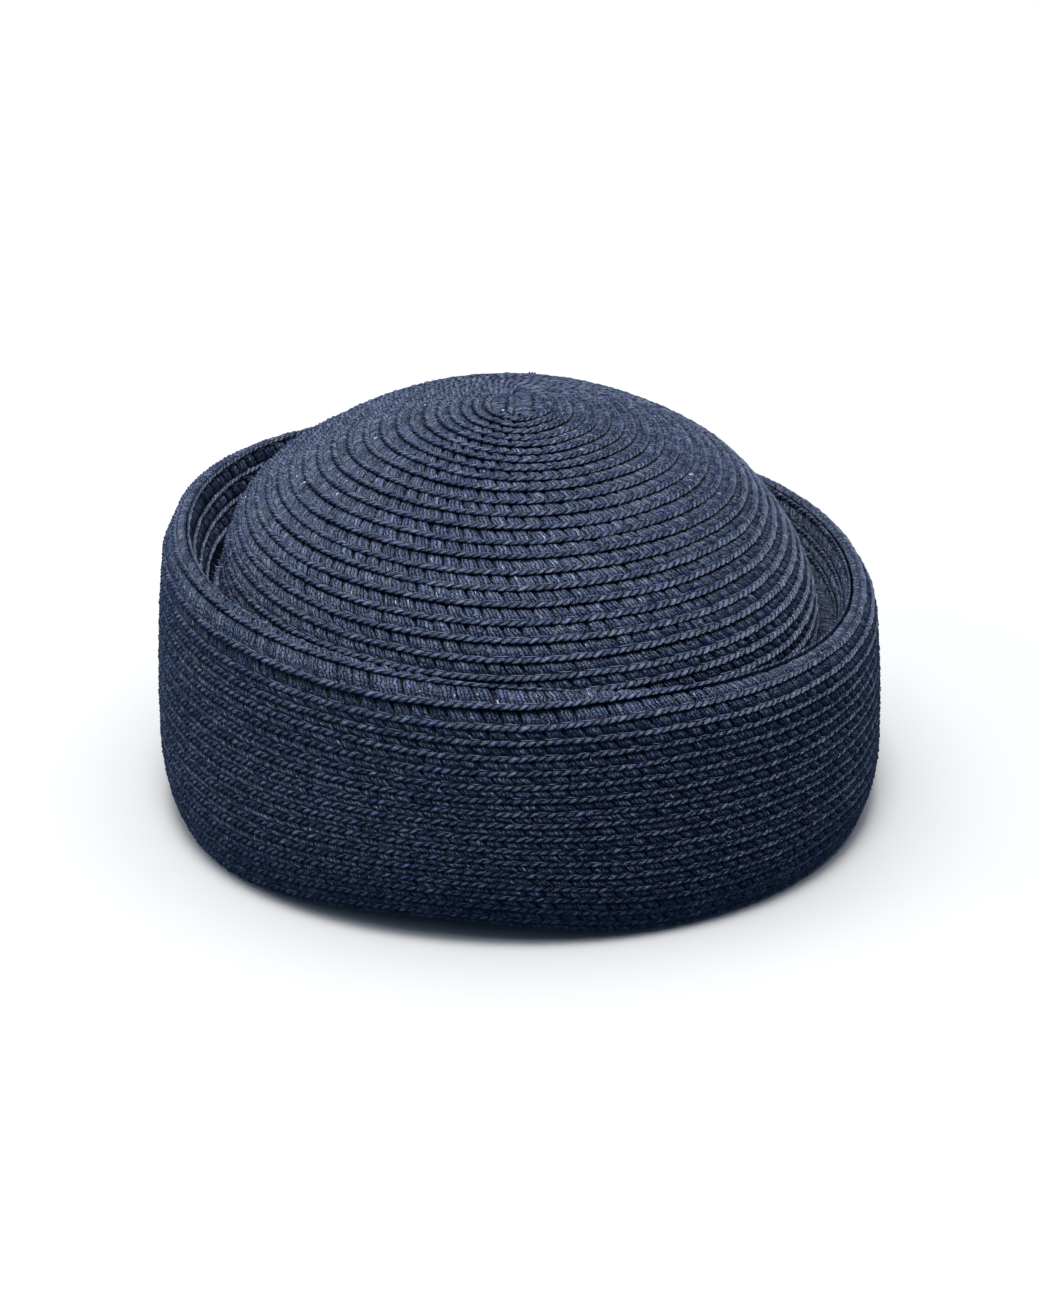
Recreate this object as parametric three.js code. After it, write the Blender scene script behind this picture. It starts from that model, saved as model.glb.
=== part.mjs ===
// Pillbox hat of paper-straw braid, sewn row over row in one length from the tip to the hem.
// A low dome drops into a narrow groove, rises to a folded rim and comes down as the side wall.
// Millimetres, +Z up. The hat rests on its hem, -Y is the front and +X is to the right of it.
// The origin is the middle of the hem's plane.
import * as THREE from "three";

// Driving sizes of the straw.
const STRAW = 2.2; // thickness from the inside to a row's ridge
const STEP = 0.8; // drop from a row's ridge to the row below it
const AROUND = 40; // facets round the hat, a multiple of four so that the oval's ends are corners

// The plan is an oval: every ring is a circle pulled longer towards the front and the back.
const oval = { pull: 9.4, bluntness: 1.9 };

// The dome is a superellipse in section. Its foot is cut off where it enters the groove.
const dome = {
  tip: 95.4, // level of the top
  seamRadius: 74.2, // where the curve would stand upright
  seamLevel: 40.5,
  footRadius: 73.7,
  sideRound: 1.63, // exponents of the superellipse, along the radius and the level
  topRound: 2.82,
  tipBack: 10.6, // the tip lies this far behind the middle of the hat
  lean: 0.036, // the dome's left side is higher, as a share of the level at leanRadius
  leanBlend: 20, // width over which the dome's lean turns into the rim's
};

const groove = { level: 50, radius: 1.3 };

// The rim folds over an inner quarter circle and an outer shoulder, a quarter ellipse.
const rim = {
  crestRadius: 82,
  crestLevel: 62.7,
  innerRound: 1.75,
  shoulderWide: 6.1,
  shoulderHigh: 12.1,
  lean: 0.127, // the rim's left side is higher
};
const leanRadius = 90;

// The wall swells to its bulge, draws in to the hem and turns under there.
const wall = {
  bulge: 89.4,
  bulgeLevel: 18.7,
  hem: 85.6,
  drawIn: 2.5, // exponent of the curve below the bulge
  turnDeep: 2,
  turnHigh: 1.8,
};

// The hem rises in one soft wave just left of the front.
const hemWave = { rise: 4.6, at: 257, halfWidth: 42, upTo: 40 };

const rightAngle = Math.PI / 2;

// Section curves: each gives a point of the ridges' line for a share from 0 to 1 of its run.
function domeCurve(share) {
  const footAngle = Math.asin((dome.footRadius / dome.seamRadius) ** (dome.sideRound / 2));
  const angle = share * footAngle;
  const r = dome.seamRadius * Math.sin(angle) ** (2 / dome.sideRound);
  const rise = Math.max(0, Math.cos(angle)) ** (2 / dome.topRound);
  return new THREE.Vector2(r, dome.seamLevel + (dome.tip - dome.seamLevel) * rise);
}

function grooveCurve(share) {
  const bottomShare = 0.26; // part of the run that is the groove's round bottom
  const outer = dome.footRadius + 2 * groove.radius;
  if (share < bottomShare) {
    const angle = Math.PI * (1 + share / bottomShare);
    const middle = dome.footRadius + groove.radius;
    return new THREE.Vector2(
      middle + groove.radius * Math.cos(angle),
      groove.level + groove.radius * Math.sin(angle),
    );
  }
  const climb = (share - bottomShare) / (1 - bottomShare);
  return new THREE.Vector2(
    THREE.MathUtils.lerp(outer, rim.crestRadius - rim.innerRound, climb),
    THREE.MathUtils.lerp(groove.level, rim.crestLevel - rim.innerRound, climb),
  );
}

function rimCurve(share) {
  const innerShare = 0.16; // part of the run that is the inner quarter circle
  if (share < innerShare) {
    const angle = Math.PI - (share / innerShare) * rightAngle;
    return new THREE.Vector2(
      rim.crestRadius + rim.innerRound * Math.cos(angle),
      rim.crestLevel - rim.innerRound + rim.innerRound * Math.sin(angle),
    );
  }
  const angle = rightAngle * (1 - (share - innerShare) / (1 - innerShare));
  return new THREE.Vector2(
    rim.crestRadius + rim.shoulderWide * Math.cos(angle),
    rim.crestLevel - rim.shoulderHigh + rim.shoulderHigh * Math.sin(angle),
  );
}

function wallCurve(share) {
  const top = rim.crestLevel - rim.shoulderHigh;
  const topRadius = rim.crestRadius + rim.shoulderWide;
  const z = top * (1 - share);
  let r = wall.bulge;
  if (z > wall.bulgeLevel) {
    r -= (wall.bulge - topRadius) * ((z - wall.bulgeLevel) / (top - wall.bulgeLevel)) ** 2;
  } else {
    r -= (wall.bulge - wall.hem) * (1 - z / wall.bulgeLevel) ** wall.drawIn;
  }
  const turned = Math.max(0, 1 - z / wall.turnHigh);
  r -= wall.turnDeep * (1 - Math.sqrt(1 - turned ** 2));
  return new THREE.Vector2(r, z);
}

// One row of this table for each zone, from the tip to the hem. rows is how many rows of braid
// lie on it, cuts how many straight pieces a row is drawn with, and inside the points that its
// inner face takes between the two shares of its run.
const zones = [
  { curve: domeCurve, rows: 22, cuts: 1, inside: 11, insideFrom: 0, insideTo: 1 },
  { curve: grooveCurve, rows: 4, cuts: 3, inside: 8, insideFrom: 0.03, insideTo: 0.88 },
  { curve: rimCurve, rows: 4, cuts: 2, inside: 4, insideFrom: 0.38, insideTo: 0.9 },
  { curve: wallCurve, rows: 15, cuts: 1, inside: 8, insideFrom: 0, insideTo: 0.95 },
];

// Walks along a zone's curve at even length: a point and the direction out of the straw there.
function walkZone(zone, share) {
  const fine = 240;
  if (!zone.lengths) {
    zone.points = Array.from({ length: fine + 1 }, (_, i) => zone.curve(i / fine));
    zone.lengths = [0];
    for (let i = 1; i <= fine; i++) {
      zone.lengths.push(zone.lengths[i - 1] + zone.points[i].distanceTo(zone.points[i - 1]));
    }
  }
  const target = share * zone.lengths[fine];
  let i = 1;
  while (i < fine && zone.lengths[i] < target) i++;
  const before = zone.points[i - 1];
  const after = zone.points[i];
  const part = (target - zone.lengths[i - 1]) / (zone.lengths[i] - zone.lengths[i - 1]);
  const along = after.clone().sub(before).normalize();
  return {
    point: before.clone().lerp(after, THREE.MathUtils.clamp(part, 0, 1)),
    out: new THREE.Vector2(-along.y, along.x),
  };
}

// The outer face: each row starts one step low, under its neighbour's ridge, and rises to its own.
function outerSection() {
  const section = [];
  for (const zone of zones) {
    for (let row = 0; row < zone.rows; row++) {
      for (let cut = 0; cut <= zone.cuts; cut++) {
        const rise = cut / zone.cuts;
        const { point, out } = walkZone(zone, (row + rise) / zone.rows);
        const { x: r, y: z } = point.addScaledVector(out, -STEP * (1 - rise));
        section.push({ r: Math.max(r, 0), z, inDome: zone.curve === domeCurve });
      }
    }
  }
  return section;
}

// The inner face lies one thickness of straw inside the ridges' line.
function innerSection() {
  const section = [];
  for (const zone of zones) {
    for (let i = 0; i < zone.inside; i++) {
      const share = THREE.MathUtils.lerp(zone.insideFrom, zone.insideTo, i / (zone.inside - 1));
      const { point, out } = walkZone(zone, share);
      const { x: r, y: z } = point.addScaledVector(out, -STRAW);
      const atTip = zone.curve === domeCurve && i === 0;
      section.push({ r: atTip ? 0 : r, z, inDome: zone.curve === domeCurve });
    }
  }
  const hem = zones[zones.length - 1].curve(1);
  section.push({ r: hem.x - STRAW, z: 0, inDome: false });
  return section;
}

function waveAt(angle, z) {
  const off = THREE.MathUtils.euclideanModulo(angle - hemWave.at + 180, 360) - 180;
  if (Math.abs(off) > hemWave.halfWidth || z > hemWave.upTo) return 0;
  const swell = (1 + Math.cos((Math.PI * off) / hemWave.halfWidth)) / 2;
  return hemWave.rise * swell * (1 - z / hemWave.upTo);
}

// Sets a point of the section at an angle round the hat: the oval, the tip's place, the lean
// of the dome and of the rim, and the wave of the hem.
function place({ r, z, inDome }, degrees) {
  const angle = THREE.MathUtils.degToRad(degrees);
  const ends = Math.tanh(oval.bluntness * Math.sin(angle)) / Math.tanh(oval.bluntness);
  const tipShare = inDome ? Math.max(0, 1 - r / dome.footRadius) : 0;
  const domeShare = inDome
    ? THREE.MathUtils.clamp((dome.footRadius + 1 - r) / dome.leanBlend, 0, 1)
    : 0;
  const x = r * Math.cos(angle);
  const y = r * Math.sin(angle) + oval.pull * ends + dome.tipBack * tipShare;
  const lean = THREE.MathUtils.lerp(rim.lean, dome.lean, domeShare);
  const level = z * (1 - (lean * x) / leanRadius);
  return [x, y, level + (inDome ? 0 : waveAt(degrees, z))];
}

// Closed skin over the rings of a section. The first and the last ring have no radius, so each
// is folded to a line along the oval's middle, and its two halves share their corners.
function closedSkin(section) {
  const positions = [];
  for (const ring of section) {
    for (let j = 0; j < AROUND; j++) {
      const quarter = AROUND / 4;
      const mirrored = ring.r === 0 && j > quarter && j < 3 * quarter;
      const folded = mirrored ? (AROUND + 2 * quarter - j) % AROUND : j;
      const [x, y, z] = place(ring, (360 * folded) / AROUND);
      positions.push(ring.r === 0 ? 0 : x, y, z);
    }
  }
  const faces = [];
  for (let i = 0; i + 1 < section.length; i++) {
    for (let j = 0; j < AROUND; j++) {
      const next = (j + 1) % AROUND;
      const upper = i * AROUND;
      const lower = upper + AROUND;
      faces.push(upper + j, lower + j, lower + next);
      faces.push(upper + j, lower + next, upper + next);
    }
  }
  const skin = new THREE.BufferGeometry();
  skin.setAttribute("position", new THREE.Float32BufferAttribute(positions, 3));
  skin.setIndex(faces);
  skin.computeVertexNormals();
  return skin;
}

const straw = new THREE.MeshStandardMaterial({ color: 0x2a3350, roughness: 0.62, metalness: 0 });

const section = [...outerSection(), ...innerSection().reverse()];
const braidShell = new THREE.Mesh(closedSkin(section), straw);
braidShell.name = "braid_shell";

const hat = new THREE.Group();
hat.add(braidShell);

export default hat;
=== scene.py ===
import math

import bpy
import numpy as np
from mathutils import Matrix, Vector


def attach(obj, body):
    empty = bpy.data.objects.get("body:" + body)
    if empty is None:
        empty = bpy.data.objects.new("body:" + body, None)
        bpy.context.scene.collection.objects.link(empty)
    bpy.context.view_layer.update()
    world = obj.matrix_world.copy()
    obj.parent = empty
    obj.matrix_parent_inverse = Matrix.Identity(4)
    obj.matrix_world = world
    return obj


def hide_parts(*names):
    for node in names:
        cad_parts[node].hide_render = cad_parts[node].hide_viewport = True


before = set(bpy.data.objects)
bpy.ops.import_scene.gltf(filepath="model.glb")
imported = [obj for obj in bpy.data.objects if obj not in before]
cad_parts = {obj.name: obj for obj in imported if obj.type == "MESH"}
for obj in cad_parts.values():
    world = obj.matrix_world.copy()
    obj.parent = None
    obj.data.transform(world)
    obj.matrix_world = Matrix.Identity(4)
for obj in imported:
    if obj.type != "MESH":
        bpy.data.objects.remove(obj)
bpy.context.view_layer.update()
mm = 0.001  # the hat's own values are in millimetres, and the scene is in metres
scene = bpy.context.scene


# the picture: a camera a little above the hat, a white table and a soft light from overhead

picture = {
    "lookAtHeight": 0.0336,  # metres above the table
    "distance": 1.0287,
    "elevation": 22.55,  # degrees above the table
    "lens": 114.9,  # for a sensor of 36 mm on the long side
    "tableSize": 30.0,
    "tableColour": (0.665, 0.658, 0.648),
    "sky": (0.36, 0.58, 1.0),
    "skyStrength": 0.14,
}

overhead = {  # far overhead, so the whole table is lit evenly: direction, degrees wide, strength
    "softPanel": {"from": (-0.05, 0.0, 1.0), "width": 72.0, "strength": 2.55},
    "topLight": {"from": (-0.03, -0.16, 1.0), "width": 20.0, "strength": 1.95},
}

lamps = {  # name: place in metres, side length, watts, colour
    "leftWindow": {"at": (-1.5, -0.35, 0.85), "side": 0.9, "watts": 5.4, "colour": (0.7, 0.85, 1.0)},
    "frontFill": {"at": (0.5, -1.6, 0.9), "side": 1.0, "watts": 1.0, "colour": (0.45, 0.68, 1.0)},
}


def makeCamera():
    lift = math.radians(picture["elevation"])
    data = bpy.data.cameras.new("pictureCamera")
    data.lens = picture["lens"]
    data.sensor_width = 36.0
    data.clip_end = 100.0
    camera = bpy.data.objects.new("pictureCamera", data)
    camera.location = (
        0.0,
        -picture["distance"] * math.cos(lift),
        picture["lookAtHeight"] + picture["distance"] * math.sin(lift),
    )
    camera.rotation_euler = (math.pi / 2 - lift, 0.0, 0.0)
    scene.collection.objects.link(camera)
    scene.camera = camera


def makeTable():
    half = picture["tableSize"] / 2
    mesh = bpy.data.meshes.new("table")
    corners = [(-half, -half, 0), (half, -half, 0), (half, half, 0), (-half, half, 0)]
    mesh.from_pydata(corners, [], [(0, 1, 2, 3)])
    table = bpy.data.objects.new("table", mesh)
    white = bpy.data.materials.new("tableWhite")
    white.use_nodes = True
    surface = white.node_tree.nodes["Principled BSDF"]
    surface.inputs["Base Color"].default_value = picture["tableColour"] + (1.0,)
    surface.inputs["Roughness"].default_value = 0.9
    surface.inputs["Specular IOR Level"].default_value = 0.0
    mesh.materials.append(white)
    table.visible_diffuse = False  # the dark sides of the hat aren't lit up from below
    table.visible_glossy = False
    scene.collection.objects.link(table)


def makeLamps():
    for name, lamp in overhead.items():
        data = bpy.data.lights.new(name, "SUN")
        data.energy = lamp["strength"]
        data.angle = math.radians(lamp["width"])
        light = bpy.data.objects.new(name, data)
        light.rotation_euler = (-Vector(lamp["from"])).to_track_quat("-Z", "Y").to_euler()
        scene.collection.objects.link(light)
    for name, lamp in lamps.items():
        data = bpy.data.lights.new(name, "AREA")
        data.size = lamp["side"]
        data.energy = lamp["watts"]
        data.color = lamp["colour"]
        light = bpy.data.objects.new(name, data)
        light.location = lamp["at"]
        aim = Vector((0.0, 0.0, 0.04)) - light.location
        light.rotation_euler = aim.to_track_quat("-Z", "Y").to_euler()
        scene.collection.objects.link(light)
    sky = bpy.data.worlds.new("sky")
    sky.use_nodes = True
    background = sky.node_tree.nodes["Background"]
    background.inputs["Color"].default_value = picture["sky"] + (1.0,)
    background.inputs["Strength"].default_value = picture["skyStrength"]
    scene.world = sky
    scene.view_settings.view_transform = "Standard"


makeCamera()
makeTable()
makeLamps()
print("stage: camera, table and lamps are in place")


# the form of the hat: its section from the tip to the hem, and the oval that it goes round

hatForm = {
    "ovalPull": 9.4, "ovalBluntness": 1.9,
    "tipLevel": 95.4, "tipBack": 10.6,
    "seamRadius": 74.2, "seamLevel": 40.5, "footRadius": 73.7,
    "sideRound": 1.63, "topRound": 2.82,
    "domeLean": 0.036, "leanBlend": 20.0, "leanRadius": 90.0,
    "grooveLevel": 50.0, "grooveRadius": 1.3,
    "crestRadius": 82.0, "crestLevel": 62.7, "crestInnerRound": 1.75,
    "shoulderWide": 6.1, "shoulderHigh": 12.1, "rimLean": 0.127,
    "bulgeRadius": 89.4, "bulgeLevel": 18.7, "hemRadius": 85.6, "drawIn": 2.5,
    "turnDeep": 2.0, "turnHigh": 1.8,
    "waveRise": 4.6, "waveAt": 257.0, "waveHalfWidth": 42.0, "waveUpTo": 40.0,
}


def sectionLine():
    # dome: r = seam sin(a)^(2/side), z = seamLevel + (tip - seamLevel) cos(a)^(2/top)
    # groove: a half circle, then a straight climb; rim: a quarter circle and a quarter ellipse
    # wall: r falls off as a square above the bulge and as the power drawIn below it
    form = hatForm
    share = np.linspace(0.0, 1.0, 3000)
    footAngle = math.asin((form["footRadius"] / form["seamRadius"]) ** (form["sideRound"] / 2))
    angle = share * footAngle
    dome = (
        form["seamRadius"] * np.sin(angle) ** (2 / form["sideRound"]),
        form["seamLevel"]
        + (form["tipLevel"] - form["seamLevel"]) * np.cos(angle) ** (2 / form["topRound"]),
    )
    bend = form["grooveRadius"]
    angle = math.pi * (1 + share)
    bottom = (
        form["footRadius"] + bend + bend * np.cos(angle),
        form["grooveLevel"] + bend * np.sin(angle),
    )
    fold = form["crestInnerRound"]
    climbFrom = form["footRadius"] + 2 * bend
    climb = (
        climbFrom + share * (form["crestRadius"] - fold - climbFrom),
        form["grooveLevel"] + share * (form["crestLevel"] - fold - form["grooveLevel"]),
    )
    angle = math.pi - share * math.pi / 2
    inner = (
        form["crestRadius"] + fold * np.cos(angle),
        form["crestLevel"] - fold + fold * np.sin(angle),
    )
    angle = math.pi / 2 * (1 - share)
    shoulder = (
        form["crestRadius"] + form["shoulderWide"] * np.cos(angle),
        form["crestLevel"] - form["shoulderHigh"] * (1 - np.sin(angle)),
    )
    top = form["crestLevel"] - form["shoulderHigh"]
    topRadius = form["crestRadius"] + form["shoulderWide"]
    z = top * (1 - share)
    above = np.clip((z - form["bulgeLevel"]) / (top - form["bulgeLevel"]), 0, 1)
    below = np.clip(1 - z / form["bulgeLevel"], 0, 1)
    turned = np.clip(1 - z / form["turnHigh"], 0, 1)
    r = form["bulgeRadius"] - (form["bulgeRadius"] - topRadius) * above**2
    r = r - (form["bulgeRadius"] - form["hemRadius"]) * below ** form["drawIn"]
    r = r - form["turnDeep"] * (1 - np.sqrt(1 - turned**2))
    wall = (r, z)

    runs = [dome, bottom, climb, inner, shoulder, wall]
    r = np.concatenate([run[0] for run in runs])
    z = np.concatenate([run[1] for run in runs])
    onDome = np.concatenate([np.full(len(share), run is dome, float) for run in runs])
    reach = np.concatenate([[0.0], np.cumsum(np.hypot(np.diff(r), np.diff(z)))])
    even = np.linspace(0.0, reach[-1], 12000)
    r, z = np.interp(even, reach, r), np.interp(even, reach, z)
    onDome = np.interp(even, reach, onDome) > 0.5
    dr, dz = np.gradient(r, even), np.gradient(z, even)
    soften = np.ones(41) / 41  # the straw can't turn a sharp corner
    dr = np.convolve(np.pad(dr, 20, "edge"), soften, "valid")
    dz = np.convolve(np.pad(dz, 20, "edge"), soften, "valid")
    size = np.hypot(dr, dz)
    return {"reach": even, "r": r, "z": z, "outR": -dz / size, "outZ": dr / size,
            "onDome": onDome.astype(float)}


section = sectionLine()
hemReach = section["reach"][-1]
print(f"form: the section is {hemReach:.0f} mm long from the tip to the hem")


def ramp(value, start, length):
    # 0 before the start, then up to 1 in a straight line
    return np.clip((value - start) / length, 0, 1)


def eased(share):
    # 3 s^2 - 2 s^3
    return share * share * (3 - 2 * share)


def ringShare(angle):
    # how far a ring is pulled to the ends of the oval: tanh(b sin(angle)) / tanh(b)
    blunt = hatForm["ovalBluntness"]
    return np.tanh(blunt * np.sin(angle)) / math.tanh(blunt)


def onHat(reach, height, angle, endShare):
    # the point at a distance from the tip along the section, at a height over it, at an angle
    # round the hat: x = r cos(a), y = r sin(a) + pull endShare + tipBack (1 - r / foot)
    form = hatForm
    across = np.sign(reach) + (reach == 0)
    reach = np.minimum(np.abs(reach), hemReach)
    look = {k: np.interp(reach, section["reach"], section[k]) for k in ("r", "z", "outR", "outZ")}
    onDome = np.interp(reach, section["reach"], section["onDome"]) > 0.5
    r = look["r"] + height * look["outR"]
    z = look["z"] + height * look["outZ"]
    tipShare = np.where(onDome, np.maximum(0, 1 - np.abs(r) / form["footRadius"]), 0)
    domeShare = np.clip((form["footRadius"] + 1 - r) / form["leanBlend"], 0, 1) * onDome
    lean = form["rimLean"] + (form["domeLean"] - form["rimLean"]) * domeShare
    x = across * r * np.cos(angle)
    y = across * r * np.sin(angle) + form["ovalPull"] * endShare + form["tipBack"] * tipShare
    off = (np.degrees(angle) - form["waveAt"] + 180) % 360 - 180
    swell = (1 + np.cos(np.pi * np.clip(off / form["waveHalfWidth"], -1, 1))) / 2
    wave = form["waveRise"] * swell * np.clip(1 - z / form["waveUpTo"], 0, 1) * ~onDome
    level = np.maximum(z, 0) * (1 - lean * x / form["leanRadius"]) + wave
    return np.stack([x, y, level], -1)


# the braid: one long plait, sewn in a spiral with each row over the edge of the next

braid = {
    "stitch": 2.1,  # length of one leaf of the ridge, and half of one bundle of strands
    "rope": 1.5,  # width of the ridge
    "wide": 7.0,  # the whole plait, of which about 4 mm show
    "shown": (2.8, 6.6),  # the least and the most of a row that shows
    "rowDrop": 0.55,  # how deep a row starts, under the ridge of the row before
    "wallDrop": 0.25,
    "rimDrop": 1.25,  # the same on the row of the rim that flares out
    "rimTurns": (29.85, 31.45),
    "lastTurn": 47.75,
    "stripShown": 6.4,  # how much of the first strip shows, as it lies open
    "stripHalf": 3.2,
    "firstShown": 3.6,  # the least of the first row round it that shows
    "cutDip": 0.6,  # the cut end of the strip dips under the first row
    "shadeFrom": -0.3,  # what lies lower than this is painted in shade
    "shadeOver": 0.55,
    "seed": 7,
}

uneven = {  # how far the plait is from perfect
    "drift": 0.4,  # leaves drift along the plait
    "driftEvery": 9.0,
    "jitter": 0.11,
    "leaf": (0.35, 1.2),
    "strand": (0.55, 1.15),
    "bundle": (0.8, 1.1),
    "lean": (0.75, 1.25),
    "gapShut": 0.18,  # share of the gaps where two bundles touch
    "waver": 0.22,  # how far the edge wanders
    "waverEvery": 24.0,
    "leafWaver": 0.08,
}

bundleShape = {  # the eight columns that one bundle is drawn with, from its gap to the next
    "places": [0.0, 0.08, 0.18, 0.32, 0.50, 0.68, 0.82, 0.92],
    "leaf": [0.0, 0.55, 0.90, 1.0, 0.0, 1.0, 0.90, 0.55],
    "strand": [-1.0, -0.75, 0.75, 1.0, 0.75, 1.0, 0.75, -0.75],
    "shutGap": 0.2,
}

plaitPoints = [  # the closed cross-section, in order round it from the ridge's outer edge
    # across, then what the ladder's width and the leaf add to it; height, then what the leaf, the
    # strand and the wall add to it; how far it is carried along, to slant leaves and strands
    (0.15, 0.0, 0.0, -0.75, 0.0, 0.0, 0.0, 1.6),
    (0.2, 0.0, -0.24, -0.46, 0.06, 0.0, -0.05, 1.6),
    (0.26, 0.0, -0.1, -0.3, 0.26, 0.0, -0.08, 1.4),
    (0.7, 0.0, 0.0, -0.16, 0.3, 0.0, -0.1, 0.8),
    (1.28, 0.0, 0.0, -0.34, 0.26, 0.0, -0.06, 0.3),
    (braid["rope"], 0.0, 0.0, -0.8, 0.0, 0.0, 0.1, 0.0),
    (braid["rope"], 0.2, 0.0, -0.42, 0.0, 0.34, 0.1, 0.3),
    (braid["rope"], 0.6, 0.0, -0.34, 0.0, 0.46, 0.22, 0.9),
    (braid["rope"], 0.9, 0.0, -0.46, 0.0, 0.4, 0.0, 1.3),
    (braid["wide"], 0.0, 0.0, -0.3, 0.0, 0.0, 0.0, 2.0),
    (3.2, 0.0, 0.0, -1.25, 0.0, 0.0, 0.0, 1.8),
]
valley, ladderEdge, innerEdge, underside = 5, 8, 9, 10  # places in the table above

rowTable = [  # turns round the hat, and how far the ridge has come from the tip at the front
    (-0.5, 3.0), (0.0, 3.0), (0.75, 3.8), (4.75, 16.4), (7.75, 26.2), (9.75, 33.9),
    (13.75, 50.9), (20.75, 80.8), (23.75, 93.2), (26.75, 104.6), (27.75, 108.6), (28.75, 113.2),
    (29.75, 119.3), (30.75, 124.3), (31.75, 128.0), (35.75, 142.3), (43.75, 169.0),
    (45.75, 176.3), (46.75, 180.3), (49.0, 180.3),
]

swingTable = [  # the rows aren't even rings: reach, then how far they swing wide, short and askew
    (3.0, 4.4, 0.0, 0.0), (12.0, 3.6, 0.0, 0.0), (21.0, 3.8, 0.0, 0.0), (40.0, 3.8, 0.0, 1.0),
    (55.0, 2.8, 0.2, 1.2),
    (70.0, 0.8, 1.2, 2.3), (81.0, 0.0, 1.6, 2.6), (119.0, 0.0, 2.6, 4.8), (132.0, 0.0, 1.9, 2.8),
    (146.0, 0.0, 0.9, 2.1), (160.0, 0.0, 0.4, 0.8), (172.0, 0.0, 0.0, 0.0),
]


def angleAt(turns):
    # the spiral starts on the left and turns clockwise seen from above
    return np.pi - 2 * np.pi * turns


def ridgeReach(turns):
    # the table read as a line with its corners rounded over a third of a turn each way, then
    # reach + wide |cos(a)|^8 - short |cos(a)| - askew tanh(1.9 cos(a))
    known, swing = np.array(rowTable), np.array(swingTable)
    fine = np.linspace(known[0, 0], known[-1, 0], 6000)
    reach = np.interp(fine, known[:, 0], known[:, 1])
    window = int(0.7 / (fine[1] - fine[0])) | 1
    reach = np.convolve(np.pad(reach, window // 2, "edge"), np.ones(window) / window, "valid")
    reach = np.interp(turns, fine, reach)
    side = np.cos(angleAt(turns))
    wide, short, askew = (np.interp(reach, swing[:, 0], swing[:, i]) for i in (1, 2, 3))
    wide = wide * eased(ramp(turns, 0.0, 0.5))
    reach = reach + wide * np.abs(side) ** 8 - short * np.abs(side) - askew * np.tanh(1.9 * side)
    return np.minimum(reach, hemReach)


def spiralPath():
    # the plait starts as a straight strip over the tip, then turns about it for each row
    turns = np.linspace(0.0, braid["lastTurn"], 48 * 720)
    angle = angleAt(turns)
    line = onHat(ridgeReach(turns) - 1.0, 0.0, angle, ringShare(angle))
    length = np.concatenate([[0.0], np.cumsum(np.linalg.norm(np.diff(line, axis=0), axis=1))])
    return {"length": length, "turns": turns}


path = spiralPath()
stripLength = hatForm["ovalPull"]
braidLength = stripLength + path["length"][-1]


def wander(length, every, rng):
    # smooth random line: random values at even steps, joined by cosine arcs
    knots = rng.uniform(-1, 1, int(length.max() / every) + 3)
    place = (length - length.min()) / every
    low = np.floor(place).astype(int)
    part = (1 - np.cos(np.pi * (place - low))) / 2
    return knots[low] * (1 - part) + knots[low + 1] * part


def braidColumns():
    # one entry for each column of the plait: where it is, and how high its leaf and strand stand
    rng = np.random.default_rng(braid["seed"])
    bundleLong = 2 * braid["stitch"]
    inBundle = len(bundleShape["places"])
    count = inBundle * int(braidLength / bundleLong)
    index = np.arange(count)
    column, bundle, leafNumber = index % inBundle, index // inBundle, 2 * index // inBundle
    bundles = bundle + np.array(bundleShape["places"])[column]
    along = bundles * bundleLong - stripLength
    along = along + uneven["drift"] * wander(along, uneven["driftEvery"], rng)
    along = along + rng.uniform(-uneven["jitter"], uneven["jitter"], count)
    leaf = np.array(bundleShape["leaf"])[column] * rng.uniform(*uneven["leaf"], count)[leafNumber]
    strand = np.array(bundleShape["strand"])[column]
    strandHigh = rng.uniform(*uneven["strand"], count)[index // 2]
    strandHigh = strandHigh * rng.uniform(*uneven["bundle"], count)[bundle]
    gapShut = rng.uniform(0, 1, count)[bundle] < uneven["gapShut"]
    gap = np.where(gapShut, bundleShape["shutGap"], strand)
    strand = np.where(column == 0, gap, strand * strandHigh)
    waver = uneven["waver"] * wander(along, uneven["waverEvery"], rng)
    waver = waver + rng.uniform(-uneven["leafWaver"], uneven["leafWaver"], count)[leafNumber]
    lean = rng.uniform(*uneven["lean"], count)[bundle]
    return {"along": along, "leaf": leaf, "strand": strand, "bundles": bundles,
            "waver": waver, "lean": lean}


columns = braidColumns()
print(f"braid: {braidLength / 1000:.1f} m of plait in {braid['lastTurn']} turns")


def braidSection(shown, slope, onWall, leaf, strand, lean):
    # the table's points for each column: across and height are its sums, less the row's own slope,
    # and the ladder's part is carried along as far as the bundle leans
    table = np.array(plaitPoints).T
    ladder, leaf, strand, onWall = (v[:, None] for v in (shown - braid["rope"], leaf, strand, onWall))
    across = table[0] + table[1] * ladder + table[2] * leaf
    high = table[3] + table[4] * leaf + table[5] * strand + table[6] * onWall
    onLadder = np.arange(len(plaitPoints)) > valley
    carried = np.where(onLadder, table[7] * lean[:, None], table[7])
    # painted shade: the lower a point lies in the plait, the darker its colour is painted
    paintedShade = np.clip((braid["shadeFrom"] - high) / braid["shadeOver"], 0, 1)
    paintedShade[:, underside] = 0.1
    high = high - slope[:, None] * np.clip(across / shown[:, None], 0, 2)
    return across, high, carried, paintedShade


def turnsAt(along):
    # the turn that the plait has reached at a length along it
    return np.interp(along, path["length"], path["turns"])


def strawPoint(along, waver, across, high):
    # a point beside the ridge's outer edge: reach = ridge + waver - across, where the plait is
    turns = turnsAt(along)
    endShare = np.where(along < 0, along / stripLength, ringShare(angleAt(turns)))
    return onHat(ridgeReach(turns) + waver - across, high, angleAt(turns), endShare)


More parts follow.
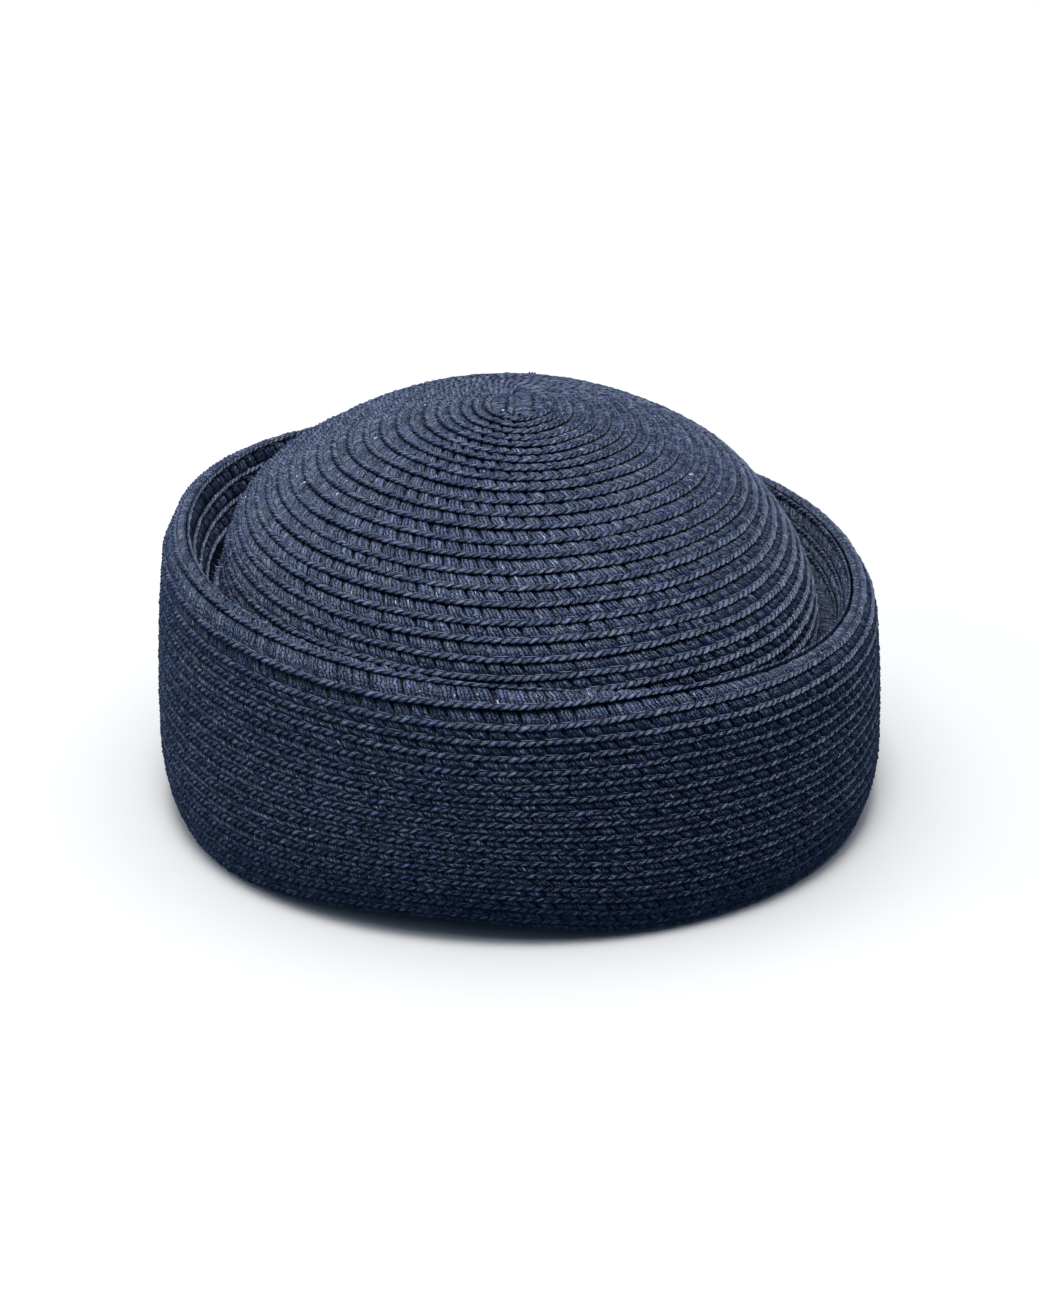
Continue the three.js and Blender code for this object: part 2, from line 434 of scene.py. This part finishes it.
def rowSlope(along):
    # how much of a row shows, how deep it starts under its neighbour, and how far onto the wall
    # it is. The first strip lies open, and the first row goes round it
    turns = turnsAt(along)
    reach = ridgeReach(turns)
    shown = np.clip(reach - ridgeReach(turns - 1.0), *braid["shown"])
    begun = ramp(turns, 0.2, 0.3)
    lyingOpen = braid["stripShown"]
    early = np.clip(reach - braid["stripHalf"], braid["firstShown"], lyingOpen)
    early = lyingOpen * (1 - begun) + early * begun
    settled = ramp(turns, 1.0, 0.4)
    shown = early * (1 - settled) + shown * settled
    start, end = braid["rimTurns"]
    onRim = ramp(turns, start, 0.4) * ramp(-turns, -end, 0.4)
    onWall = ramp(turns, end, 2.0)
    drop = braid["rowDrop"] + (braid["wallDrop"] - braid["rowDrop"]) * onWall
    drop = drop + (braid["rimDrop"] - drop) * onRim
    return shown, drop * eased(ramp(turns, 0.12, 1.4)), onWall


def braidGrid(first, last):
    # surface of two parameters: each column from first to last, each place in the section
    pick = {name: values[first:last] for name, values in columns.items()}
    shown, slope, onWall = rowSlope(pick["along"])
    across, high, carried, paintedShade = braidSection(
        shown, slope, onWall, pick["leaf"], pick["strand"], pick["lean"])
    # after the first full turn the inner edge is painted in the shade of the row before
    begun = ramp(turnsAt(pick["along"]), 1.2, 0.2)
    paintedShade[:, ladderEdge] = np.maximum(paintedShade[:, ladderEdge], 0.12 * begun)
    paintedShade[:, innerEdge] = np.maximum(0.15, 0.6 * begun)
    shown = np.broadcast_to(shown[:, None], across.shape).copy()
    shown[:, underside] = 20.0  # the underside lies open to the inside of the hat, so no painted shadow line falls on it
    along = pick["along"][:, None] + carried
    high = high - braid["cutDip"] * (1 - ramp(along, -stripLength, 2.0)) ** 2
    points = strawPoint(along, pick["waver"][:, None], across, high)
    return points, {"bundles": np.broadcast_to(pick["bundles"][:, None], across.shape),
                    "across": across, "paintedShade": paintedShade, "shown": shown}


def closedBand(name, first, last):
    # four-cornered faces from each column to the next, all round the section, and a cap at each end
    points, labels = braidGrid(first, last)
    count, ring = points.shape[:2]
    i, j = np.meshgrid(np.arange(count - 1), np.arange(ring), indexing="ij")
    nextJ = (j + 1) % ring
    quads = np.stack([i * ring + j, i * ring + nextJ, (i + 1) * ring + nextJ, (i + 1) * ring + j], -1)
    quads = quads.reshape(-1, 4)
    mesh = bpy.data.meshes.new(name)
    caps = 2
    mesh.vertices.add(count * ring)
    mesh.vertices.foreach_set("co", (points * mm).astype(np.float32).ravel())
    mesh.loops.add(quads.size + caps * ring)
    startCap = np.arange(ring)[::-1]
    endCap = (count - 1) * ring + np.arange(ring)
    mesh.loops.foreach_set("vertex_index", np.concatenate([quads.ravel(), startCap, endCap]).astype(np.int32))
    mesh.polygons.add(len(quads) + caps)
    starts = np.concatenate([np.arange(len(quads)) * 4, [quads.size, quads.size + ring]])
    mesh.polygons.foreach_set("loop_start", starts.astype(np.int32))
    mesh.polygons.foreach_set("use_smooth", np.ones(len(quads) + caps, bool))
    mesh.update(calc_edges=True)
    mesh.validate()
    for label, values in labels.items():
        layer = mesh.attributes.new(label, "FLOAT", "POINT")
        layer.data.foreach_set("value", np.ascontiguousarray(values, np.float32).ravel())
    piece = bpy.data.objects.new(name, mesh)
    scene.collection.objects.link(piece)
    return piece


# the straw: flat glossy strands of navy paper

straw = {
    "navy": (0.002, 0.010, 0.055),
    "slate": (0.190, 0.248, 0.408),
    # painted shade: the colour that gaps, low places in the plait, the line under each ridge and specks are
    # mixed toward
    "shadow": (0.0003, 0.0020, 0.0140),
    "tint": 0.22,  # how far a strand's own teal or violet comes through
    # painted highlight: the pale colour of a few bits of strand that seem to catch the light
    "glint": (0.52, 0.58, 0.66),
    "glintShare": 0.004,
    "gloss": 0.37,
    "shine": 0.75,
    "shineTint": (0.80, 0.90, 1.0),
    "rowShade": 0.6,  # width of the painted shadow line under a ridge
    "speckShare": 0.47,  # more gives more specks of painted shadow
    "speckEdge": 8.0,
    "relief": 0.9,
    "reliefDeep": 0.0007,
}

strandLook = {  # the ladder's value, then the ridge's
    "inBundle": (4.0, 2.0),  # strands in the ladder, leaves in the ridge beside it
    "sway": (0.32, 0.1),
    "flatness": (3.5, 2.0),
    # painted shade in the gaps between two strands
    "gapShade": (0.75, 0.9),
}

grain = {  # how often a pattern repeats in a bundle along the plait, and in a millimetre across it
    "bend": (2.7, 0.8),
    "fibre": (30.0, 0.9),
    "fleck": (7.5, 1.7),
    "glint": (24.0, 1.2),
}


def plug(tree, socket, value):
    # an output is linked, a colour or a number is set
    if isinstance(value, bpy.types.NodeSocket):
        tree.links.new(value, socket)
    elif isinstance(value, tuple):
        socket.default_value = value + (1.0,)
    else:
        socket.default_value = value


def attribute(tree, name):
    node = tree.nodes.new("ShaderNodeAttribute")
    node.attribute_name = name
    return node.outputs["Fac"]


def compute(tree, kind, *values):
    # one step of arithmetic on numbers and outputs
    node = tree.nodes.new("ShaderNodeMath")
    node.operation = kind
    for socket, value in zip(node.inputs, values):
        plug(tree, socket, value)
    return node.outputs[0]


def either(tree, onRidge, name):
    # the ladder's value where onRidge is 0, the ridge's where it is 1
    node = tree.nodes.new("ShaderNodeMix")
    tree.links.new(onRidge, node.inputs["Factor"])
    node.inputs[2].default_value, node.inputs[3].default_value = strandLook[name]
    return node.outputs[0]


def mixed(tree, amount, first, second, kind="MIX"):
    node = tree.nodes.new("ShaderNodeMix")
    node.data_type = "RGBA"
    node.blend_type = kind
    plug(tree, node.inputs["Factor"], amount)
    plug(tree, node.inputs[6], first)
    plug(tree, node.inputs[7], second)
    return node.outputs[2]


def stretched(tree, place, size):
    # a place on the plait, counted in repeats of a pattern
    node = tree.nodes.new("ShaderNodeVectorMath")
    node.operation = "MULTIPLY"
    node.inputs[1].default_value = size + (1.0,)
    tree.links.new(place, node.inputs[0])
    return node.outputs[0]


def noise(tree, place, size, detail):
    node = tree.nodes.new("ShaderNodeTexNoise")
    node.inputs["Scale"].default_value = 1.0
    node.inputs["Detail"].default_value = detail
    tree.links.new(stretched(tree, place, size), node.inputs["Vector"])
    return node.outputs["Fac"]


def strandPattern(tree):
    # one number for each strand of the ladder and each leaf of the ridge, and how far a point is
    # from its middle: profile = 1 - |2 fract(n bundles) - 1|^k, flatter on the ladder
    bundles, across = attribute(tree, "bundles"), attribute(tree, "across")
    onRidge = compute(tree, "LESS_THAN", across, braid["rope"])
    joined = tree.nodes.new("ShaderNodeCombineXYZ")
    tree.links.new(bundles, joined.inputs["X"])
    tree.links.new(across, joined.inputs["Y"])
    place = joined.outputs[0]
    sway = compute(tree, "SUBTRACT", noise(tree, place, grain["bend"], 1.0), 0.5)
    sway = compute(tree, "MULTIPLY", sway, either(tree, onRidge, "sway"))
    counted = compute(tree, "ADD", bundles, sway)
    counted = compute(tree, "MULTIPLY", counted, either(tree, onRidge, "inBundle"))
    off = compute(tree, "MULTIPLY", compute(tree, "FRACT", counted), 2.0)
    off = compute(tree, "ABSOLUTE", compute(tree, "SUBTRACT", off, 1.0))
    border = compute(tree, "POWER", off, either(tree, onRidge, "flatness"))
    # a leaf's number lies far above every strand's
    number = compute(tree, "MULTIPLY", onRidge, 40000.5)
    number = compute(tree, "ADD", compute(tree, "FLOOR", counted), number)
    chance = tree.nodes.new("ShaderNodeTexWhiteNoise")
    chance.noise_dimensions = "1D"
    tree.links.new(number, chance.inputs["W"])
    return {"across": across, "onRidge": onRidge, "place": place, "border": border,
            "profile": compute(tree, "SUBTRACT", 1.0, border),
            "chance": chance.outputs["Value"], "hue": chance.outputs["Color"]}


def strandColour(tree, strand, fibre, fleck):
    # each strand its own tone and a breath of teal or violet, streaked and flecked along it:
    # tone = 0.7 chance^1.6 + 0.2 fibre + 1.1 (fleck - 0.45)
    tone = compute(tree, "POWER", strand["chance"], 1.6)
    tone = compute(tree, "MULTIPLY", tone, 0.7)
    tone = compute(tree, "ADD", tone, compute(tree, "MULTIPLY", fibre, 0.2))
    flecked = compute(tree, "MULTIPLY", compute(tree, "SUBTRACT", fleck, 0.45), 1.1)
    tone = compute(tree, "MAXIMUM", compute(tree, "ADD", tone, flecked), 0.0)
    colour = mixed(tree, tone, straw["navy"], straw["slate"])
    tinted = mixed(tree, 1.0, colour, strand["hue"], "MULTIPLY")
    return mixed(tree, straw["tint"], colour, tinted)


def strandShade(tree, strand, fleck):
    # painted shade, the darkest of four: the gap between two strands, what lies low in the plait, the
    # line under the ridge before, ((across - shown) / rowShade + 1.25)^1.3, and specks of shadow between
    # the strands, (speckShare - fleck) speckEdge
    dark = compute(tree, "MULTIPLY", strand["chance"], 0.25)
    dark = compute(tree, "ADD", dark, either(tree, strand["onRidge"], "gapShade"))
    shade = compute(tree, "MULTIPLY", strand["border"], dark)
    paintedShade = compute(tree, "POWER", attribute(tree, "paintedShade"), 0.6)
    shade = compute(tree, "MAXIMUM", shade, paintedShade)
    under = compute(tree, "SUBTRACT", strand["across"], attribute(tree, "shown"))
    under = compute(tree, "ADD", compute(tree, "DIVIDE", under, straw["rowShade"]), 1.25)
    under = compute(tree, "MINIMUM", compute(tree, "MAXIMUM", under, 0.0), 1.0)
    shade = compute(tree, "MAXIMUM", shade, compute(tree, "POWER", under, 1.3))
    specks = compute(tree, "SUBTRACT", straw["speckShare"], fleck)
    specks = compute(tree, "MULTIPLY", specks, straw["speckEdge"])
    specks = compute(tree, "MINIMUM", compute(tree, "MAXIMUM", specks, 0.0), 0.92)
    return compute(tree, "MAXIMUM", shade, specks)


def paintedGlint(tree, strand):
    # painted highlight: here and there a bit of a strand is painted pale as if it caught the light, on the
    # ladder alone
    cells = tree.nodes.new("ShaderNodeVectorMath")
    cells.operation = "FLOOR"
    tree.links.new(stretched(tree, strand["place"], grain["glint"]), cells.inputs[0])
    spark = tree.nodes.new("ShaderNodeTexWhiteNoise")
    spark.noise_dimensions = "2D"
    tree.links.new(cells.outputs[0], spark.inputs["Vector"])
    lit = compute(tree, "LESS_THAN", spark.outputs["Value"], straw["glintShare"])
    lit = compute(tree, "MULTIPLY", lit, compute(tree, "SUBTRACT", 1.0, strand["onRidge"]))
    return compute(tree, "MULTIPLY", lit, strand["profile"])


def strandRelief(tree, strand, fibre, fleck):
    # height = profile + 0.35 fibre + 0.8 fleck
    height = compute(tree, "ADD", strand["profile"], compute(tree, "MULTIPLY", fibre, 0.35))
    height = compute(tree, "ADD", height, compute(tree, "MULTIPLY", fleck, 0.8))
    bump = tree.nodes.new("ShaderNodeBump")
    bump.inputs["Strength"].default_value = straw["relief"]
    bump.inputs["Distance"].default_value = straw["reliefDeep"]
    tree.links.new(height, bump.inputs["Height"])
    return bump.outputs[0]


def strawMaterial():
    material = bpy.data.materials.new("navyStraw")
    material.use_nodes = True
    tree = material.node_tree
    surface = tree.nodes["Principled BSDF"]
    surface.inputs["Roughness"].default_value = straw["gloss"]
    surface.inputs["Specular Tint"].default_value = straw["shineTint"] + (1.0,)
    surface.inputs["Specular IOR Level"].default_value = straw["shine"]
    strand = strandPattern(tree)
    fibre = noise(tree, strand["place"], grain["fibre"], 3.0)
    fleck = noise(tree, strand["place"], grain["fleck"], 2.0)
    colour = strandColour(tree, strand, fibre, fleck)
    # painted shade over the strands' own colour
    colour = mixed(tree, strandShade(tree, strand, fleck), colour, straw["shadow"])
    # painted highlights on a few bits of the ladder
    colour = mixed(tree, paintedGlint(tree, strand), colour, straw["glint"])
    tree.links.new(colour, surface.inputs["Base Color"])
    tree.links.new(strandRelief(tree, strand, fibre, fleck), surface.inputs["Normal"])
    return material


navyStraw = strawMaterial()
print("straw: the material is made")

bands = [  # name, and the turn where it ends
    ("crown_top", 16.0), ("crown_side", 23.75), ("rim_rows", 30.75),
    ("wall_upper", 36.4), ("wall_middle", 42.0), ("wall_lower", braid["lastTurn"]),
]


def putOnHat(piece, material):
    piece.data.materials.append(material)
    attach(piece, "root")
    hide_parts("braid_shell")
    print(f"{piece.name}: {len(piece.data.loops) - 2 * len(piece.data.polygons)} triangles")


def makeBands():
    first = 0
    turns = turnsAt(columns["along"])
    for name, endTurn in bands:
        last = int(np.searchsorted(turns, endTurn))
        if name == bands[-1][0]:
            last = len(turns)
        putOnHat(closedBand(name, first, last), navyStraw)
        first = last - 1


makeBands()


# the sewing thread: one stitch after another in the valley beside the ridge, and a loose end

thread = {
    "stitchEvery": 6.0,
    "stitchLong": 4.6,
    "stitchShare": (0.6, 1.1),  # the shortest and the longest stitch, as a share of that
    "stitchDrift": 0.5,
    "thick": 0.18,
    "valleyDeep": 0.55,
    "rise": 0.38,
    "colour": (0.16, 0.20, 0.33),
    "gloss": 0.35,
    "looseEnd": [  # x and y from the middle of the tip
        (-12.2, 4.2), (-8.3, 5.2), (-4.9, 3.9), (-1.0, 2.8), (0.5, 0.8), (0.9, -2.8),
    ],
    "looseThick": 0.3,
    "looseHigh": 0.3,
    "looseWave": 0.12,
    "looseColour": (0.016, 0.038, 0.15),
    "knotReach": 31.0,  # a nub of thread on the back of the dome
    "knotAngle": 84.5,
    "knotSize": 1.0,
    "knotThick": 0.54,
}


def tubes(name, points, rings, sides):
    # points: one row for each ring of each tube, so all tubes share the same faces
    count = len(points) // (rings * sides)
    t, i, j = np.meshgrid(np.arange(count), np.arange(rings - 1), np.arange(sides), indexing="ij")
    base, nextJ = t * rings * sides, (j + 1) % sides
    quads = np.stack([base + i * sides + j, base + i * sides + nextJ,
                      base + (i + 1) * sides + nextJ, base + (i + 1) * sides + j], -1)
    ends = np.arange(count)[:, None] * rings * sides + np.arange(sides)[None, :]
    starts = ends[:, ::-1]
    ends = ends + (rings - 1) * sides
    faces = quads.reshape(-1, 4).tolist() + starts.tolist() + ends.tolist()
    mesh = bpy.data.meshes.new(name)
    mesh.from_pydata((points * mm).tolist(), [], faces)
    mesh.polygons.foreach_set("use_smooth", np.ones(len(faces), bool))
    piece = bpy.data.objects.new(name, mesh)
    scene.collection.objects.link(piece)
    return piece


def sewStitches():
    # each stitch rises out of the valley and sinks back: height = rise sin(pi t) - valleyDeep
    rng = np.random.default_rng(braid["seed"] + 1)
    count = int((braidLength - 12.0) / thread["stitchEvery"])
    t = np.linspace(0.0, 1.0, 5)
    start = np.arange(count) * thread["stitchEvery"] - stripLength + 4.0
    start = start + rng.uniform(-thread["stitchDrift"], thread["stitchDrift"], count)
    size = thread["stitchLong"] * rng.uniform(*thread["stitchShare"], count)
    along = start[:, None] + size[:, None] * t
    beside = braid["rope"] + rng.uniform(-0.12, 0.2, count)[:, None] + 0.1 * (t - 0.5)
    shown, slope, _ = rowSlope(along)
    high = thread["rise"] * np.sin(np.pi * t) - thread["valleyDeep"] - slope * beside / shown
    waver = np.interp(along, columns["along"], columns["waver"])
    turn = np.array([0.0, 2.0, 4.0]) * np.pi / 3
    radius = thread["thick"] / 2
    across = beside[:, :, None] + radius * np.cos(turn)
    high = high[:, :, None] + radius * np.sin(turn)
    full = np.zeros_like(across)
    points = strawPoint(along[:, :, None] + full, waver[:, :, None] + full, across, high)
    return tubes("sewing_thread", points.reshape(-1, 3), 5, 3)


def layLooseEnd():
    # a smooth line over the tip through the named points, as one tube
    known = np.array(thread["looseEnd"])
    step = np.concatenate([[0.0], np.cumsum(np.linalg.norm(np.diff(known, axis=0), axis=1))])
    even = np.linspace(0.0, step[-1], 60)
    x, y = np.interp(even, step, known[:, 0]), np.interp(even, step, known[:, 1])
    soften = np.ones(9) / 9
    x = np.convolve(np.pad(x, 4, "edge"), soften, "valid")
    y = np.convolve(np.pad(y, 4, "edge"), soften, "valid")
    turn = np.arange(6) * np.pi / 3
    radius = thread["looseThick"] / 2 * np.sqrt(np.clip(np.sin(np.pi * even / step[-1]) * 6, 0.02, 1))
    high = thread["looseHigh"] + thread["looseWave"] * np.sin(even * 1.3)
    reach = -x[:, None] + 0 * turn
    high = high[:, None] + radius[:, None] * np.sin(turn)
    y = y[:, None] + radius[:, None] * np.cos(turn)
    points = onHat(reach, high, np.full_like(reach, np.pi), y / hatForm["ovalPull"])
    return tubes("loose_thread", points.reshape(-1, 3), 60, 6)


def tieKnot():
    # three small loops of thread wound over each other
    t = np.linspace(0.0, 1.0, 64)
    size = thread["knotSize"]
    wound = 6 * np.pi * t
    middle = math.radians(thread["knotAngle"])
    high = -0.1 + 0.25 * np.sin(wound)
    reach = thread["knotReach"] + 0.4 * size * np.cos(wound)
    beside = size * (2 * t - 1)
    turn = np.arange(6) * np.pi / 3
    radius = thread["knotThick"] / 2
    reach = reach[:, None] + radius * np.cos(turn)
    high = high[:, None] + radius * np.sin(turn)
    angle = middle + (beside / thread["knotReach"])[:, None] + 0 * turn
    points = onHat(reach, high, angle, ringShare(angle))
    return tubes("thread_knot", points.reshape(-1, 3), 64, 6)


def threadMaterial(name, colour):
    material = bpy.data.materials.new(name)
    material.use_nodes = True
    surface = material.node_tree.nodes["Principled BSDF"]
    surface.inputs["Base Color"].default_value = colour + (1.0,)
    surface.inputs["Roughness"].default_value = thread["gloss"]
    return material


putOnHat(sewStitches(), threadMaterial("blueThread", thread["colour"]))
deepBlue = threadMaterial("deepBlueThread", thread["looseColour"])
putOnHat(layLooseEnd(), deepBlue)
putOnHat(tieKnot(), deepBlue)
